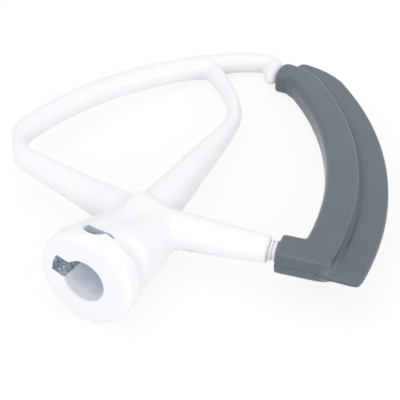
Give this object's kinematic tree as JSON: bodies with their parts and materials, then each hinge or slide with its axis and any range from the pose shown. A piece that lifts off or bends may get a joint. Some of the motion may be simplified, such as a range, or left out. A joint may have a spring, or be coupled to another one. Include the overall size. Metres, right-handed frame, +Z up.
{
  "type": "flex edge beater",
  "caption": "Flat beater for a stand mixer: coated cast frame with an open D shape, middle rib and keyed shaft socket, and a curved silicone wiping edge on one side.",
  "frame": {"origin": "centre of the shaft socket's mouth, on the hub axis", "axes": "+Z up as the beater lies on a table, +X across it towards the silicone edge, and the hub axis runs from the mouth along +Y and 4.7 degrees down"},
  "size_m": [0.1323, 0.1502, 0.0306],
  "materials": {
    "coated_casting": "satin white coating over a die casting",
    "silicone_edge": "matte moulded silicone"
  },
  "bodies": {
    "root": {"frame_casting": "coated_casting", "flex_edge": "silicone_edge"}
  },
  "joints": []
}
